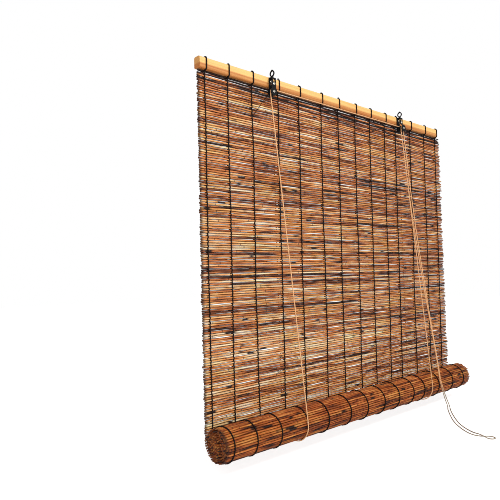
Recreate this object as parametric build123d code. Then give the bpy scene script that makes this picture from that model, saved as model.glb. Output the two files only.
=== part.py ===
from build123d import *
import math
import os

# Reed roll-up blind, 1 m wide, let down by about 0.8 m. Sizes are in millimetres.
# It is drawn from three datums: x = 0 at the mat's left edge, y = 0 in the mat's middle plane with the
# room towards -y, and z = 0 on top of the head rail. save() then moves every piece so that the origin
# is the middle of the left hanging eye's hole.

# Head rail
MAT_WIDTH = 1000.0
MAT_OVERHANG = 24.0
RAIL_HEIGHT = 25.0
RAIL_DEPTH = 19.0
RAIL_EDGE_RADIUS = 4.0

# Reed mat and roll
REED_PITCH = 5.0
REED_DEPTH = 4.5
REED_CROWN = 2.4
NECK_DEPTH = 1.2
HANGING_REEDS = 155
MAT_SEAT_GAP = 0.3
ROLL_DIAMETER = 77.6
ROLL_CORE_RADIUS = 6.0
TURN_GAP = 0.3
SLIT_HEIGHT = 1.6
SLIT_COUNT = 56
SLIT_MARGIN = 4.0

# Warp threads, at uneven gaps as woven by hand. A wider mat takes more of them, with the gaps in turn
# again, and a warp that would run under a hanger is moved beside its neck.
FIRST_WARP = 17.0
WARP_GAPS = (63.5, 71.5, 84.5, 72.5, 85.0, 70.0, 74.0, 69.0, 73.0, 62.0, 77.0, 83.0, 69.0)
LAST_WARP_MARGIN = 4.0
WARP_CLEARANCE = 0.45
WARP_WIDTH = 1.5
WARP_DEPTH = 0.8
WARP_END_ABOVE_ROLL_CENTRE = 16.0
RING_FACETS = 12
RING_DEPTH = 0.5
RING_START_DEG = 8.0
RING_END_DEG = 330.0

# Hangers: a folded steel frame with grooved sheaves on an axle rivet
LEFT_HANGER_X = 207.0
RIGHT_HANGER_INSET = 231.0
SHEET = 1.5
FRAME_TOP = -3.0
FRAME_NECK_WIDTH = 13.0
FRAME_BULB_RADIUS = 10.0
FRAME_BEND_RADIUS = 1.6
WAIST_RADIUS = 3.0
AXLE_Z = -36.0
LONG_SCREW_Z = -18.0
SHORT_SCREW_Z = -10.5
ACCESS_HOLE_RADIUS = 3.0
JOGGLE_TOP_Z = -22.0
JOGGLE_BOTTOM_Z = -28.0

# Sheaves and axles
SHEAVE_RADIUS = 7.6
SHEAVE_HUB_RADIUS = 3.2
SHEAVE_HUB_WIDTH = 7.2
SHEAVE_RIM_WIDTH = 5.8
GROOVE_MOUTH = 5.0
GROOVE_FLOOR = 2.0
GROOVE_CLEARANCE = 0.35
HUB_GAP = 0.3
HUB_END_GAP = 0.65
AXLE_RADIUS = 1.6
RUNNING_CLEARANCE = 0.05
RIVET_HEAD_RADIUS = 3.2
RIVET_HEAD_HEIGHT = 1.4

# Screws and spacer tubes
SCREW_RADIUS = 1.5
SCREW_HEAD_RADIUS = 3.3
SCREW_HEAD_HEIGHT = 1.9
LONG_SCREW_HOLE_DEPTH = 13.0
SHORT_SCREW_HOLE_DEPTH = 11.0
HOLE_END_GAP = 1.0
SHORT_SCREW_HEAD_RADIUS = 2.6
SHORT_SCREW_HEAD_HEIGHT = 1.4
SPACER_RADIUS = 2.6
FIT_CLEARANCE = 0.05

# Hanging eyes
EYE_Z = 6.8
EYE_THICKNESS = 3.0
EYE_HOLE_RADIUS = 5.0
EYE_RING_RADIUS = 7.6
EYE_TIP_RADIUS = 1.2
EYE_TIP_RISE = 8.4
EYE_EDGE = 0.8
EYE_COLLAR_RADIUS = 3.2
EYE_COLLAR_SINK = 1.0
EYE_STEM_RADIUS = 2.0
EYE_HEAD_HEIGHT = 1.2
SWIVEL_GAP = 0.1

# Cords
CORD = 2.5
CORD_SIDES = 6
CORD_TURN_RADIUS = 6.0
CORD_JOINT_GAP = 0.15
SLING_GAP = 0.3
LEFT_SLING_OFFSET = 24.0
RIGHT_SLING_OFFSET = 30.0
TACK_Z = -13.0
TACK_RADIUS = 0.9
TACK_HOLE_DEPTH = 9.0
TACK_HEAD_RADIUS = 3.0
TACK_HEAD_HEIGHT = 0.8
KNOT_RADIUS = 3.4
KNOT_HEIGHT = 2.6
THREAD = 0.8

# The pull cord's two strands come down from the right hanger's sheaves to the front of the roll. Here
# and below, a cord's x is taken from its own hanger.
REAR_STRAND = [
    (6.0, -15.25, -36.1),
    (6.2, -20.6, -96.0),
    (7.8, -25.9, -158.0),
    (10.9, -31.0, -221.0),
    (15.0, -36.4, -285.0),
    (19.9, -41.6, -349.0),
    (26.0, -47.0, -413.0),
    (32.9, -52.1, -477.0),
    (40.4, -57.4, -541.0),
    (48.4, -62.5, -604.0),
    (56.6, -67.8, -667.0),
    (64.6, -72.7, -728.0),
    (72.0, -76.9, -785.0),
]
FRONT_STRAND = [
    (6.0, -22.75, -36.1),
    (6.6, -27.2, -96.0),
    (8.6, -32.0, -158.0),
    (12.0, -36.4, -221.0),
    (16.5, -41.2, -285.0),
    (22.0, -45.7, -349.0),
    (28.5, -50.4, -413.0),
    (35.8, -54.9, -477.0),
    (43.6, -59.6, -541.0),
    (51.9, -64.1, -604.0),
    (60.4, -68.7, -667.0),
    (68.8, -73.2, -728.0),
    (76.5, -76.9, -785.0),
]
# Below the roll the cord drops to the floor, lies on it in a long bight and comes back. The route is
# one loop: down behind the front strand, out to the bight's end, and back up to the rear strand.
FLOOR_Z = -870.0
ON_FLOOR = FLOOR_Z + CORD / 2
HUMP = ON_FLOOR + 3.2
PULL_BIGHT = [
    (72.0, -76.9, -785.0),
    (79.0, -77.6, -806.0),
    (87.0, -78.8, -828.0),
    (93.6, -81.0, -848.0),
    (95.5, -85.5, -862.0),
    (88.0, -91.0, ON_FLOOR + 0.4),
    (72.0, -99.5, ON_FLOOR),
    (26.5, -128.5, ON_FLOOR),
    (-23.5, -163.0, ON_FLOOR),
    (-48.5, -182.8, ON_FLOOR),
    (-73.5, -206.5, ON_FLOOR),
    (-95.5, -230.5, ON_FLOOR),
    (-110.0, -251.0, ON_FLOOR),
    (-116.0, -268.0, ON_FLOOR),
    (-112.0, -282.5, ON_FLOOR),
    (-101.5, -292.0, ON_FLOOR),
    (-96.5, -303.5, ON_FLOOR),
    (-103.5, -313.5, ON_FLOOR),
    (-116.0, -313.0, ON_FLOOR),
    (-122.5, -303.0, ON_FLOOR + 0.8),
    (-118.5, -291.0, HUMP),
    (-108.5, -275.0, HUMP),
    (-99.0, -259.0, ON_FLOOR + 0.6),
    (-87.5, -241.5, ON_FLOOR),
    (-71.0, -219.5, ON_FLOOR),
    (-48.5, -196.0, ON_FLOOR),
    (-23.5, -174.8, ON_FLOOR),
    (29.0, -136.0, ON_FLOOR),
    (76.0, -105.0, ON_FLOOR),
    (91.5, -96.0, ON_FLOOR + 0.5),
    (98.5, -89.5, -861.0),
    (97.0, -84.5, -847.0),
    (90.8, -80.8, -828.0),
    (83.3, -78.6, -806.0),
    (76.5, -76.9, -785.0),
]
# A thin thread ties the left hanger to the third warp.
TIE_THREAD = [(-8.8, -10.3, -42.2), (-33.0, -6.6, -71.5), (-53.8, -3.75, -100.0)]

# Worked out from the sizes above
RAIL_LENGTH = MAT_WIDTH - MAT_OVERHANG
RAIL_FRONT = -RAIL_DEPTH / 2
RAIL_BACK = RAIL_DEPTH / 2
RIGHT_HANGER_X = RAIL_LENGTH - RIGHT_HANGER_INSET
LEFT_SLING_X = LEFT_HANGER_X + LEFT_SLING_OFFSET
RIGHT_SLING_X = RIGHT_HANGER_X + RIGHT_SLING_OFFSET
MAT_TOP = -RAIL_HEIGHT - MAT_SEAT_GAP
MAT_BOTTOM = MAT_TOP - HANGING_REEDS * REED_PITCH
ROLL_RADIUS = ROLL_DIAMETER / 2
TURN_RADIUS = ROLL_RADIUS - REED_DEPTH / 2
ROLL_Y = -TURN_RADIUS
ROLL_Z = MAT_BOTTOM - TURN_GAP
TURN_PITCH = REED_DEPTH + TURN_GAP
BACK_CHEEK_FRONT = RAIL_FRONT - SHEET
REAR_SHEAVE_Y = BACK_CHEEK_FRONT - HUB_END_GAP - SHEAVE_HUB_WIDTH / 2
FRONT_SHEAVE_Y = REAR_SHEAVE_Y - SHEAVE_HUB_WIDTH - HUB_GAP
SLING_RADIUS = ROLL_RADIUS + SLING_GAP + CORD / 2
GROOVE_RADIUS = CORD_TURN_RADIUS - CORD / 2 - GROOVE_CLEARANCE
TO_ORIGIN = Location((-LEFT_HANGER_X, -REAR_SHEAVE_Y, -EYE_Z))


def save(name, *solids):
    """Writes one node: its solids, moved so that the left hanging eye is the origin."""
    moved = [TO_ORIGIN * solid for solid in solids]
    export_step(moved[0] if len(moved) == 1 else Compound(children=moved), f"parts/{name}.step")


def inner_width(sheaves):
    """The room between a hanger's two cheeks for so many sheaves."""
    return sheaves * SHEAVE_HUB_WIDTH + (sheaves - 1) * HUB_GAP + 2 * HUB_END_GAP


def rod(start, end, radius):
    """A round bar between two points."""
    run = Vector(*end) - Vector(*start)
    flat = (Align.CENTER, Align.CENTER, Align.MIN)
    return Plane(origin=start, z_dir=run) * Cylinder(radius, run.length, align=flat)


def along_y(x, z, start_y, end_y, radius):
    """A round bar parallel to y, as axles, screws, tubes and their holes are."""
    return rod((x, start_y, z), (x, end_y, z), radius)


def cord_along(path, diameter=CORD):
    """A cord's tube: a many-sided section carried along a path."""
    section = Plane(origin=path @ 0, z_dir=path % 0) * RegularPolygon(diameter / 2, CORD_SIDES)
    return sweep(section, path=path)


def straight_cord(start, end, diameter=CORD):
    """A cord that is pulled tight between two points, just short of the pieces at its ends."""
    run = (Vector(*end) - Vector(*start)).normalized() * CORD_JOINT_GAP
    return cord_along(Line(Vector(*start) + run, Vector(*end) - run), diameter)


def routed_cord(hanger_x, route, diameter=CORD):
    """A slack cord: straight runs joined by arcs, each as large as its two runs allow."""
    points = [(hanger_x + x, y, z) for x, y, z in route]
    radii = []
    for before, corner, after in zip(points, points[1:], points[2:]):
        arrive = Vector(*corner) - Vector(*before)
        leave = Vector(*after) - Vector(*corner)
        half_turn = math.radians(arrive.get_angle(leave)) / 2
        radii.append(0.45 * min(arrive.length, leave.length) / math.tan(half_turn))
    print("cord radii", [round(radius) for radius in radii])
    path = FilletPolyline(*points, radius=radii)
    tube = cord_along(path, diameter)
    print("cord length", round(path.length), "volume", round(tube.volume))
    return tube


def turned_cord(x, y, start_deg, sweep_deg):
    """The stretch of cord that lies in a sheave's groove."""
    circle = Plane(origin=(x, y, AXLE_Z), x_dir=(1, 0, 0), z_dir=(0, -1, 0))
    return cord_along(circle * CenterArc((0, 0), CORD_TURN_RADIUS, start_deg, sweep_deg))


def sling_tangent(y, z, side):
    """The angle round the roll at which a tight cord from (y, z) meets the sling, in degrees."""
    reach = math.hypot(y - ROLL_Y, z - ROLL_Z)
    straight = math.degrees(math.atan2(z - ROLL_Z, y - ROLL_Y))
    return straight + side * math.degrees(math.acos(SLING_RADIUS / reach))


def on_sling(x, angle_deg):
    """A point of the sling's centre line."""
    angle = math.radians(angle_deg)
    return (x, ROLL_Y + SLING_RADIUS * math.cos(angle), ROLL_Z + SLING_RADIUS * math.sin(angle))


def beside_hangers(x):
    """A warp's x, moved to the nearer side of a hanger's neck that it would run under."""
    clear = FRAME_NECK_WIDTH / 2 + WARP_WIDTH / 2 + WARP_CLEARANCE
    for hanger_x in (LEFT_HANGER_X, RIGHT_HANGER_X):
        if abs(x - hanger_x) < clear:
            return hanger_x + math.copysign(clear, x - hanger_x)
    return x


def warp_places():
    """The x of each warp thread, for as far as the rail reaches."""
    places = []
    x = FIRST_WARP
    while x <= RAIL_LENGTH - LAST_WARP_MARGIN:
        places.append(beside_hangers(x))
        x += WARP_GAPS[(len(places) - 1) % len(WARP_GAPS)]
    return places


# Head rail

def screw_places():
    """The x of both hangers and the depth of their screws' holes, as (x, z, depth) rows."""
    rows = []
    for x in (LEFT_HANGER_X, RIGHT_HANGER_X):
        rows.append((x, LONG_SCREW_Z, LONG_SCREW_HOLE_DEPTH))
        rows.append((x, SHORT_SCREW_Z, SHORT_SCREW_HOLE_DEPTH))
    return rows


def head_rail():
    """A planed bar with rounded long edges, bored for the hangers' screws and the cords' tacks."""
    rail = Pos(RAIL_LENGTH / 2, 0, -RAIL_HEIGHT / 2) * Box(RAIL_LENGTH, RAIL_DEPTH, RAIL_HEIGHT)
    rail = fillet(rail.edges().filter_by(Axis.X), RAIL_EDGE_RADIUS)
    for x, z, depth in screw_places():
        rail -= along_y(x, z, RAIL_FRONT, RAIL_FRONT + depth, SCREW_RADIUS + FIT_CLEARANCE)
    for x in (LEFT_SLING_X, RIGHT_SLING_X):
        rail -= along_y(x, TACK_Z, RAIL_BACK, RAIL_BACK - TACK_HOLE_DEPTH, TACK_RADIUS + FIT_CLEARANCE)
    return rail


# Reed mat

def reed_mat():
    """The hanging mat: one wall of reeds side by side, with slits where light shows between them."""
    front, back = [], []
    for reed in range(HANGING_REEDS):
        middle = MAT_TOP - (reed + 0.5) * REED_PITCH
        for z, y in (
            (middle + REED_PITCH / 2, NECK_DEPTH / 2),
            (middle + REED_CROWN / 2, REED_DEPTH / 2),
            (middle - REED_CROWN / 2, REED_DEPTH / 2),
        ):
            front.append((-y, z))
            back.append((y, z))
    front.append((-NECK_DEPTH / 2, MAT_BOTTOM))
    back.append((NECK_DEPTH / 2, MAT_BOTTOM))
    outline = Polyline(*front, *reversed(back), close=True)
    mat = extrude(Plane.YZ * make_face(outline), MAT_WIDTH)
    return mat - slits()


def slits():
    """Slits at the necks between reeds, each in one bay between two warps and never two together."""
    warps = warp_places()
    bays = len(warps) - 1
    step = (HANGING_REEDS - 4) / SLIT_COUNT
    cutters = []
    for number in range(SLIT_COUNT):
        neck = 2 + round(number * step)
        bay = (number * 5 + number // bays) % bays
        start = warps[bay] + SLIT_MARGIN
        end = warps[bay + 1] - SLIT_MARGIN
        middle = (start + end) / 2, 0, MAT_TOP - neck * REED_PITCH
        cutters.append(Pos(*middle) * Box(end - start, 2 * REED_DEPTH, SLIT_HEIGHT))
    return cutters


# Roll

def spiral(angle, offset=0.0):
    """A point (y, z) of the roll: angle runs from the outer end at the back, down and to the front."""
    radius = TURN_RADIUS - TURN_PITCH * angle / (2 * math.pi) + offset
    return ROLL_Y + radius * math.cos(angle), ROLL_Z - radius * math.sin(angle)


def reed_roll():
    """The rolled-up rest of the mat: one spiral wall of reeds, with a gap from turn to turn."""
    outer, inner = [], []
    angle = 0.0
    radius = TURN_RADIUS
    while radius > ROLL_CORE_RADIUS:
        whole = REED_PITCH / radius
        crown = REED_CROWN / radius
        outer.append(spiral(angle, NECK_DEPTH / 2))
        outer.append(spiral(angle + (whole - crown) / 2, REED_DEPTH / 2))
        outer.append(spiral(angle + (whole + crown) / 2, REED_DEPTH / 2))
        inner.append(spiral(angle, -NECK_DEPTH / 2))
        inner.append(spiral(angle + whole / 2, -REED_DEPTH / 2))
        angle += whole
        radius = TURN_RADIUS - TURN_PITCH * angle / (2 * math.pi)
    outer.append(spiral(angle, NECK_DEPTH / 2))
    inner.append(spiral(angle, -NECK_DEPTH / 2))
    outline = Polyline(*outer, *reversed(inner), close=True)
    return extrude(Plane.YZ * make_face(outline), MAT_WIDTH)


# Warp threads

def warp_band(standoff):
    """One side of a warp's loop: down the mat's front, round the rail on its tangents, and behind."""
    mat_face = REED_DEPTH / 2 + standoff
    rail_face = RAIL_DEPTH / 2 + standoff
    corner = (RAIL_EDGE_RADIUS + standoff) * (1 - math.tan(math.pi / 8))
    first_crown = MAT_TOP - REED_PITCH / 2 - standoff / 2
    low = ROLL_Z + WARP_END_ABOVE_ROLL_CENTRE
    bottom = -RAIL_HEIGHT - standoff
    half = [
        (mat_face, low),
        (mat_face, first_crown),
        (rail_face - corner, bottom),
        (rail_face, bottom + corner),
        (rail_face, standoff - corner),
        (rail_face - corner, standoff),
    ]
    return [(-y, z) for y, z in half] + list(reversed(half))


def warp_thread(x):
    """One warp: a flat thread looped over the rail, with both its ends running down the mat."""
    band = make_face(Polyline(*warp_band(0.0), *reversed(warp_band(WARP_DEPTH)), close=True))
    return extrude(Plane.YZ.offset(x - WARP_WIDTH / 2) * band, WARP_WIDTH)


def warp_ring(x):
    """A warp where it runs on round the roll: a flat thread on the reeds' crowns, open at the back."""
    step = math.radians(RING_END_DEG - RING_START_DEG) / RING_FACETS
    lift = ROLL_RADIUS * (1 / math.cos(step / 2) - 1)
    angles = [math.radians(RING_START_DEG) + step * i for i in range(RING_FACETS + 1)]
    inside = [spiral(angle, REED_DEPTH / 2 + lift) for angle in angles]
    outside = [spiral(angle, REED_DEPTH / 2 + lift + RING_DEPTH) for angle in angles]
    band = make_face(Polyline(*inside, *reversed(outside), close=True))
    return extrude(Plane.YZ.offset(x - WARP_WIDTH / 2) * band, WARP_WIDTH)


# Hangers

def frame_section(sheaves):
    """The folded sheet seen from the end: back cheek, bridge and front cheek, with room for the sheaves."""
    near = BACK_CHEEK_FRONT - inner_width(1) - SHEET / 2
    deep = BACK_CHEEK_FRONT - inner_width(sheaves) - SHEET / 2
    bottom = AXLE_Z - FRAME_BULB_RADIUS
    top = FRAME_TOP - SHEET / 2
    points = [(RAIL_FRONT - SHEET / 2, bottom), (RAIL_FRONT - SHEET / 2, top), (near, top)]
    if sheaves > 1:
        points += [(near, JOGGLE_TOP_Z), (deep, JOGGLE_BOTTOM_Z)]
    points.append((deep, bottom))
    return trace(FilletPolyline(*points, radius=FRAME_BEND_RADIUS), line_width=SHEET)


def cheek_outline():
    """The cheeks seen from the room: a neck that widens to a round bulb about the axle."""
    height = FRAME_TOP - AXLE_Z
    neck = Pos(0, height / 2) * Rectangle(FRAME_NECK_WIDTH, height)
    shape = neck + Circle(FRAME_BULB_RADIUS)
    waist_height = math.sqrt(FRAME_BULB_RADIUS**2 - (FRAME_NECK_WIDTH / 2) ** 2)
    waist = [v for v in shape.vertices() if abs(v.Y - waist_height) < 0.01]
    return fillet(waist, WAIST_RADIUS)


def hanger_frame(x, sheaves):
    """One folded frame, pierced for the axle, the screws, the screwdriver and the eye's stem."""
    reach = inner_width(sheaves) + 3 * SHEET
    slab = extrude(Plane.YZ.offset(x - FRAME_BULB_RADIUS) * frame_section(sheaves), 2 * FRAME_BULB_RADIUS)
    face = Plane(origin=(x, RAIL_FRONT, AXLE_Z), x_dir=(1, 0, 0), z_dir=(0, -1, 0))
    frame = slab & extrude(face * cheek_outline(), reach)
    outside = RAIL_FRONT - reach
    frame -= along_y(x, AXLE_Z, RAIL_FRONT, outside, AXLE_RADIUS + FIT_CLEARANCE)
    frame -= along_y(x, LONG_SCREW_Z, RAIL_FRONT, outside, SCREW_RADIUS + FIT_CLEARANCE)
    frame -= along_y(x, SHORT_SCREW_Z, RAIL_FRONT, outside, SCREW_RADIUS + FIT_CLEARANCE)
    frame -= along_y(x, SHORT_SCREW_Z, BACK_CHEEK_FRONT - SHEET, outside, ACCESS_HOLE_RADIUS)
    stem_hole = EYE_STEM_RADIUS + RUNNING_CLEARANCE
    frame -= rod((x, REAR_SHEAVE_Y, FRAME_TOP + SHEET), (x, REAR_SHEAVE_Y, FRAME_TOP - 2 * SHEET), stem_hole)
    return frame


def hanging_eye(x):
    """A drop-shaped eye on a stem that is riveted over under the frame's bridge and swivels there."""
    ring = Circle(EYE_RING_RADIUS)
    tip = Pos(0, EYE_TIP_RISE) * Circle(EYE_TIP_RADIUS)
    drop = make_hull(Sketch(children=[ring, tip]).edges())
    plate = extrude(Plane.YZ.offset(-EYE_THICKNESS / 2) * drop, EYE_THICKNESS)
    plate = chamfer(plate.edges(), EYE_EDGE)
    plate -= rod((-EYE_THICKNESS, 0, 0), (EYE_THICKNESS, 0, 0), EYE_HOLE_RADIUS)
    eye = Pos(x, REAR_SHEAVE_Y, EYE_Z) * plate
    bridge_top = FRAME_TOP + SWIVEL_GAP
    bridge_under = FRAME_TOP - SHEET - SWIVEL_GAP
    ring_bottom = EYE_Z - EYE_RING_RADIUS + EYE_COLLAR_SINK
    eye += rod((x, REAR_SHEAVE_Y, bridge_top), (x, REAR_SHEAVE_Y, ring_bottom), EYE_COLLAR_RADIUS)
    eye += rod((x, REAR_SHEAVE_Y, bridge_under), (x, REAR_SHEAVE_Y, bridge_top), EYE_STEM_RADIUS)
    head_bottom = (x, REAR_SHEAVE_Y, bridge_under - EYE_HEAD_HEIGHT)
    eye += rod(head_bottom, (x, REAR_SHEAVE_Y, bridge_under), EYE_COLLAR_RADIUS)
    return eye


def sheave(x, y):
    """A grooved wheel with a hub each side that keeps it off the cheeks."""
    bore = AXLE_RADIUS + RUNNING_CLEARANCE
    half = [
        (bore, SHEAVE_HUB_WIDTH / 2),
        (SHEAVE_HUB_RADIUS, SHEAVE_HUB_WIDTH / 2),
        (SHEAVE_HUB_RADIUS, SHEAVE_RIM_WIDTH / 2),
        (SHEAVE_RADIUS, SHEAVE_RIM_WIDTH / 2),
        (SHEAVE_RADIUS, GROOVE_MOUTH / 2),
        (GROOVE_RADIUS, GROOVE_FLOOR / 2),
    ]
    other = [(radius, -width) for radius, width in reversed(half)]
    section = Plane.XY * make_face(Polyline(*half, *other, close=True))
    return Pos(x, y, AXLE_Z) * revolve(section, Axis.Y)


def axle(x, sheaves):
    """A rivet through both cheeks, with a domed head in front and a flat one behind."""
    front = BACK_CHEEK_FRONT - inner_width(sheaves) - SHEET
    pin = along_y(x, AXLE_Z, RAIL_FRONT, front, AXLE_RADIUS)
    pin += along_y(x, AXLE_Z, RAIL_FRONT, RAIL_FRONT + RIVET_HEAD_HEIGHT, RIVET_HEAD_RADIUS)
    return pin + domed_head(x, AXLE_Z, front, RIVET_HEAD_RADIUS, RIVET_HEAD_HEIGHT)


def domed_head(x, z, seat_y, radius, height):
    """A head that stands towards the room on its seat, with a softened edge."""
    head = along_y(x, z, seat_y, seat_y - height, radius)
    return chamfer(head.edges().sort_by(Axis.Y)[0], height * 0.6)


def long_screw(x):
    """The screw through both cheeks and the spacer tube into the rail."""
    seat = BACK_CHEEK_FRONT - inner_width(1) - SHEET
    shank = along_y(x, LONG_SCREW_Z, seat, RAIL_FRONT + LONG_SCREW_HOLE_DEPTH - HOLE_END_GAP, SCREW_RADIUS)
    return shank + domed_head(x, LONG_SCREW_Z, seat, SCREW_HEAD_RADIUS, SCREW_HEAD_HEIGHT)


def short_screw(x):
    """The screw that holds the back cheek alone."""
    seat = BACK_CHEEK_FRONT
    shank = along_y(x, SHORT_SCREW_Z, seat, RAIL_FRONT + SHORT_SCREW_HOLE_DEPTH - HOLE_END_GAP, SCREW_RADIUS)
    return shank + domed_head(x, SHORT_SCREW_Z, seat, SHORT_SCREW_HEAD_RADIUS, SHORT_SCREW_HEAD_HEIGHT)


def spacer_tube(x):
    """The tube round the long screw that keeps the cheeks apart."""
    far = BACK_CHEEK_FRONT - inner_width(1)
    tube = along_y(x, LONG_SCREW_Z, BACK_CHEEK_FRONT, far, SPACER_RADIUS)
    return tube - along_y(x, LONG_SCREW_Z, BACK_CHEEK_FRONT, far, SCREW_RADIUS + FIT_CLEARANCE)


# Cords

def tack(x):
    """The tack on the rail's back that holds a lift cord's knot."""
    head_y = RAIL_BACK + KNOT_HEIGHT
    pin = along_y(x, TACK_Z, RAIL_BACK - TACK_HOLE_DEPTH + HOLE_END_GAP, head_y, TACK_RADIUS)
    return pin + along_y(x, TACK_Z, head_y, head_y + TACK_HEAD_HEIGHT, TACK_HEAD_RADIUS)


def knot(x):
    """The lift cord's end, wound round the tack."""
    coil = along_y(x, TACK_Z, RAIL_BACK, RAIL_BACK + KNOT_HEIGHT, KNOT_RADIUS)
    return coil - along_y(x, TACK_Z, RAIL_BACK, RAIL_BACK + KNOT_HEIGHT, TACK_RADIUS + FIT_CLEARANCE)


def lift_cord(sheave_x, sheave_y, sling_x):
    """A lift cord's three stretches: its front run, the sling under the roll and its back run."""
    from_sheave = (sheave_x - CORD_TURN_RADIUS, sheave_y, AXLE_Z)
    knot_end = (sling_x, RAIL_BACK + KNOT_HEIGHT / 2, TACK_Z - KNOT_RADIUS)
    front_deg = sling_tangent(from_sheave[1], from_sheave[2], 1)
    back_deg = sling_tangent(knot_end[1], knot_end[2], -1)
    front_run = straight_cord(from_sheave, on_sling(sling_x, front_deg))
    back_run = straight_cord(on_sling(sling_x, back_deg), knot_end)
    circle = Plane(origin=(sling_x, ROLL_Y, ROLL_Z), x_dir=(0, 1, 0), z_dir=(1, 0, 0))
    arc = CenterArc((0, 0), SLING_RADIUS, front_deg, 360 + back_deg - front_deg)
    return front_run, cord_along(circle * arc), back_run


def cross_cord():
    """The left lift cord's way over its sheave, along under the rail and over the rear right sheave."""
    y = REAR_SHEAVE_Y
    top = AXLE_Z + CORD_TURN_RADIUS
    left = turned_cord(LEFT_HANGER_X, y, 90, 90)
    right = turned_cord(RIGHT_HANGER_X, y, 0, 90)
    return left, straight_cord((LEFT_HANGER_X, y, top), (RIGHT_HANGER_X, y, top)), right


os.makedirs("parts", exist_ok=True)

save("head_rail", head_rail())
save("reed_mat", reed_mat())
save("reed_roll", reed_roll())

for index, place in enumerate(warp_places(), start=1):
    save(f"warp_thread_{index:02d}", warp_thread(place))
save("roll_threads", *[warp_ring(place) for place in warp_places()])

save("hanger_frame_left", hanger_frame(LEFT_HANGER_X, 1))
save("hanger_frame_right", hanger_frame(RIGHT_HANGER_X, 2))
save("hanging_eye_left", hanging_eye(LEFT_HANGER_X))
save("hanging_eye_right", hanging_eye(RIGHT_HANGER_X))
save("sheave_left", sheave(LEFT_HANGER_X, REAR_SHEAVE_Y))
save("sheave_right_rear", sheave(RIGHT_HANGER_X, REAR_SHEAVE_Y))
save("sheave_right_front", sheave(RIGHT_HANGER_X, FRONT_SHEAVE_Y))
save("axle_left", axle(LEFT_HANGER_X, 1))
save("axle_right", axle(RIGHT_HANGER_X, 2))
save("long_screws", long_screw(LEFT_HANGER_X), long_screw(RIGHT_HANGER_X))
save("short_screws", short_screw(LEFT_HANGER_X), short_screw(RIGHT_HANGER_X))
save("spacer_tubes", spacer_tube(LEFT_HANGER_X), spacer_tube(RIGHT_HANGER_X))

left_front, left_sling, left_back = lift_cord(LEFT_HANGER_X, REAR_SHEAVE_Y, LEFT_SLING_X)
right_front, right_sling, right_back = lift_cord(RIGHT_HANGER_X, FRONT_SHEAVE_Y, RIGHT_SLING_X)
save("lift_cord_left_front", left_front)
save("lift_cord_left_back", left_back)
save("lift_cord_right_front", right_front)
save("lift_cord_right_back", right_back)
save("sling_left", left_sling)
save("sling_right", right_sling)
save("cord_tacks", tack(LEFT_SLING_X), tack(RIGHT_SLING_X))
save("cord_knots", knot(LEFT_SLING_X), knot(RIGHT_SLING_X))
save("cross_cord", *cross_cord())
save("front_sheave_cord", turned_cord(RIGHT_HANGER_X, FRONT_SHEAVE_Y, 0, 180))
save("pull_cord_rear", routed_cord(RIGHT_HANGER_X, REAR_STRAND))
save("pull_cord_front", routed_cord(RIGHT_HANGER_X, FRONT_STRAND))
save("pull_cord_bight", routed_cord(RIGHT_HANGER_X, PULL_BIGHT))
save("tie_thread", routed_cord(LEFT_HANGER_X, TIE_THREAD, THREAD))
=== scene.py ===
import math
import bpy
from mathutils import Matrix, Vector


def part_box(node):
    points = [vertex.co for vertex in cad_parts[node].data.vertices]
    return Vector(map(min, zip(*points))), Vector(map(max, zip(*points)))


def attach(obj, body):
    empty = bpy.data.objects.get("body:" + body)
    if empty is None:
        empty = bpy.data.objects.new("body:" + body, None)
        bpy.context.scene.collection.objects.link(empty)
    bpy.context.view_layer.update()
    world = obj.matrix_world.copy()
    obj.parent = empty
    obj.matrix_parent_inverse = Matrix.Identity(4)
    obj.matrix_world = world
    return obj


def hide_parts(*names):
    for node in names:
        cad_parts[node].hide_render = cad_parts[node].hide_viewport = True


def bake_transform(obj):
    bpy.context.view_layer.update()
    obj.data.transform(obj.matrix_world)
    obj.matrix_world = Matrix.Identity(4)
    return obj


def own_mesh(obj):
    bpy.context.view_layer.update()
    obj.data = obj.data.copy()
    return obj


bl_info = {
    "name": "Reed roll-up blind",
    "version": (1, 0, 0),
    "blender": (4, 5, 0),
    "location": "View3D > Sidebar > Reed blind",
    "description": "Dresses a reed roll-up blind: its reeds, warp threads, roll, cords and hangers",
    "category": "Object",
}

import bpy
import numpy as np
from mathutils import Matrix, Vector

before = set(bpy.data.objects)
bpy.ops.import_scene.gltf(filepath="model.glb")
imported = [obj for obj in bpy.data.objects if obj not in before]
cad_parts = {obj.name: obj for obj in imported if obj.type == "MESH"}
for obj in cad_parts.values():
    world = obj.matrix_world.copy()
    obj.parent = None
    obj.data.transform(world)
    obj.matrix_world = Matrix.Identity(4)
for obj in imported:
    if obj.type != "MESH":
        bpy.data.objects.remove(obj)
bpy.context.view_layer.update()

# Routes and places are in millimetres from three datums: x = 0 at the mat's left edge, y = 0 in the
# mat's middle plane with the room towards -y, and z = 0 on top of the head rail.
MAT_LOW, MAT_HIGH = (np.array(corner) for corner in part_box("reed_mat"))
RAIL_LOW, RAIL_HIGH = (np.array(corner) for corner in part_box("head_rail"))
DATUM = np.array([MAT_LOW[0], (MAT_LOW[1] + MAT_HIGH[1]) / 2, RAIL_HIGH[2]])
MM = 0.001

RAIL_HEIGHT = (RAIL_HIGH[2] - RAIL_LOW[2]) / MM
RAIL_DEPTH = (RAIL_HIGH[1] - RAIL_LOW[1]) / MM
RAIL_EDGE_RADIUS = 4.0
MAT_WIDTH = (MAT_HIGH[0] - MAT_LOW[0]) / MM
MAT_TOP = (MAT_HIGH[2] - DATUM[2]) / MM
MAT_BOTTOM = (MAT_LOW[2] - DATUM[2]) / MM
FLOOR_Z = -870.0
WARPS_X = np.array([
    17.0, 80.5, 152.0, 236.5, 309.0, 394.0, 464.0, 538.0, 607.0, 680.0, 737.3, 819.0, 902.0, 971.0])

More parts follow.
